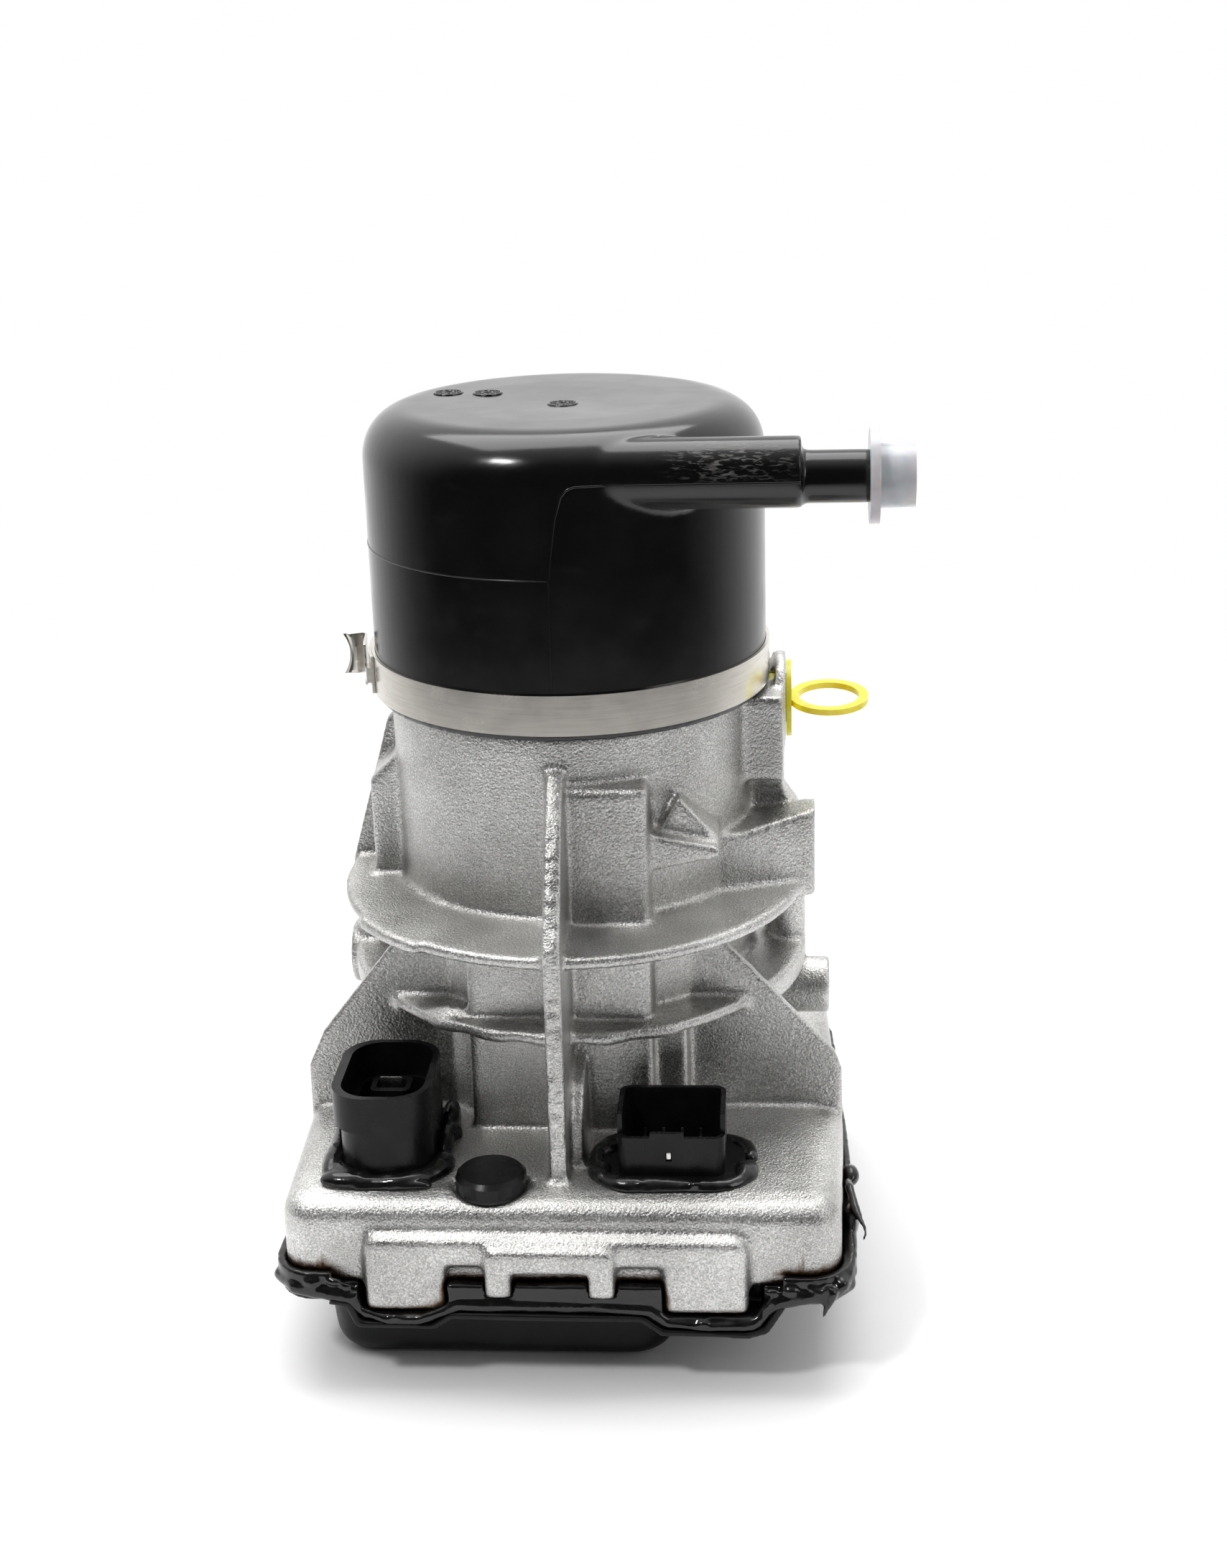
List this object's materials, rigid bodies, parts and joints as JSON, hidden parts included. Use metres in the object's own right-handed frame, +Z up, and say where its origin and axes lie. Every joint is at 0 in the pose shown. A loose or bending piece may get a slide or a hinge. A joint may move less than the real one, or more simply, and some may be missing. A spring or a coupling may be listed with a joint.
{
  "type": "electro-hydraulic power steering pump",
  "caption": "Upright electro-hydraulic pump: black domed fluid reservoir with side nipple, clamped on a ribbed cast body above a flat electronics box with plug sockets.",
  "frame": {"origin": "on the pump and motor axis, in the plane that the bottom cover's dish rests on", "axes": "+Z up along the pump axis towards the reservoir, +X the way the return nipple points, -Y towards the two connectors"},
  "size_m": [0.172, 0.167, 0.248],
  "materials": {
    "cast_aluminium": "blasted casting, satin",
    "moulded_black": "satin gloss moulding",
    "connector_black": "satin moulding",
    "stainless": "polished strip",
    "milky_plastic": "translucent milky",
    "yellow_plastic": "translucent satin",
    "black_silicone": "wet gloss",
    "black_steel": "satin black coating",
    "seal_rubber": "matte",
    "board": "solder mask",
    "can_sleeve": "heat-shrink sleeve",
    "ferrite": "matte",
    "chip": "matte epoxy",
    "thermal_pad": "matte",
    "lamination": "stacked sheet",
    "insulator": "moulded",
    "copper": "enamelled copper",
    "tinned": "tinned",
    "steel": "ground",
    "zinc_steel": "zinc plated",
    "magnet": "nickel plated",
    "cage_brass": "pressed",
    "machined_aluminium": "machined",
    "membrane": "porous film",
    "mesh": "woven"
  },
  "bodies": {
    "housing": {"body_casting": "cast_aluminium", "reservoir": "moulded_black", "reservoir_seal": "seal_rubber", "fluid_strainer": "mesh", "clamp_band": "stainless", "clamp_hook": "stainless", "clamp_ear": "stainless", "power_connector": "connector_black", "power_terminals": "tinned", "power_sealant": "black_silicone", "signal_connector": "connector_black", "signal_terminals": "tinned", "signal_sealant": "black_silicone", "vent_plug": "connector_black", "vent_seal": "seal_rubber", "vent_membrane": "membrane", "bottom_cover": "black_steel", "cover_sealant": "black_silicone", "circuit_board": "board", "board_screws": "zinc_steel", "capacitors": "can_sleeve", "choke_coil": "ferrite", "power_transistors": "chip", "thermal_pads": "thermal_pad", "control_chips": "chip", "stator_core": "lamination", "stator_insulator": "insulator", "stator_windings": "copper", "end_plate": "machined_aluminium", "end_plate_screws": "zinc_steel", "phase_bars": "copper", "shaft_seal": "seal_rubber", "upper_bearing_outer": "steel", "lower_bearing_outer": "steel", "pump_body": "machined_aluminium", "lower_bush_block": "machined_aluminium", "upper_bush_block": "machined_aluminium", "pump_cover": "machined_aluminium", "pump_bolts": "zinc_steel", "dowel_pins": "steel", "relief_spring": "steel", "relief_plug": "zinc_steel", "transfer_tube": "steel", "suction_strainer": "mesh"},
    "rotor": {"rotor_shaft": "steel", "rotor_core": "lamination", "rotor_magnets": "magnet", "sensor_magnet": "magnet", "upper_bearing_inner": "steel", "lower_bearing_inner": "steel", "drive_coupling": "steel", "drive_gear": "steel"},
    "driven_gear": {"driven_gear": "steel"},
    "upper_cage": {"upper_bearing_balls": "steel", "upper_bearing_cage": "cage_brass"},
    "lower_cage": {"lower_bearing_balls": "steel", "lower_bearing_cage": "cage_brass"},
    "relief_poppet": {"relief_poppet": "steel"},
    "return_cap": {"return_cap": "milky_plastic"},
    "port_plug": {"port_plug": "yellow_plastic"}
  },
  "joints": [
    {"name": "rotor_spin", "type": "hinge", "parent": "housing", "child": "rotor", "pos_m": [0, 0, 0.09], "axis": [0, 0, 1], "continuous": true},
    {"name": "driven_gear_spin", "type": "hinge", "parent": "housing", "child": "driven_gear", "pos_m": [0, 0.02, 0.159], "axis": [0, 0, 1], "continuous": true},
    {"name": "upper_cage_spin", "type": "hinge", "parent": "housing", "child": "upper_cage", "pos_m": [0, 0, 0.121], "axis": [0, 0, 1], "continuous": true},
    {"name": "lower_cage_spin", "type": "hinge", "parent": "housing", "child": "lower_cage", "pos_m": [0, 0, 0.063], "axis": [0, 0, 1], "continuous": true},
    {"name": "relief_lift", "type": "slide", "parent": "housing", "child": "relief_poppet", "axis": [0, 0, 1], "range_m": [0, 0.0015], "stiffness_N_per_m": 3000, "springref_m": -0.001, "deforming": ["relief_spring"]},
    {"name": "return_cap_pull", "type": "slide", "parent": "housing", "child": "return_cap", "axis": [1, 0, 0], "range_m": [0, 0.06]},
    {"name": "port_plug_pull", "type": "slide", "parent": "housing", "child": "port_plug", "axis": [1, 0, 0], "range_m": [0, 0.04]}
  ],
  "couplings": [
    {"joint": "driven_gear_spin", "follows": "rotor_spin", "ratio": -1},
    {"joint": "upper_cage_spin", "follows": "rotor_spin", "ratio": 0.3682},
    {"joint": "lower_cage_spin", "follows": "rotor_spin", "ratio": 0.3722}
  ]
}
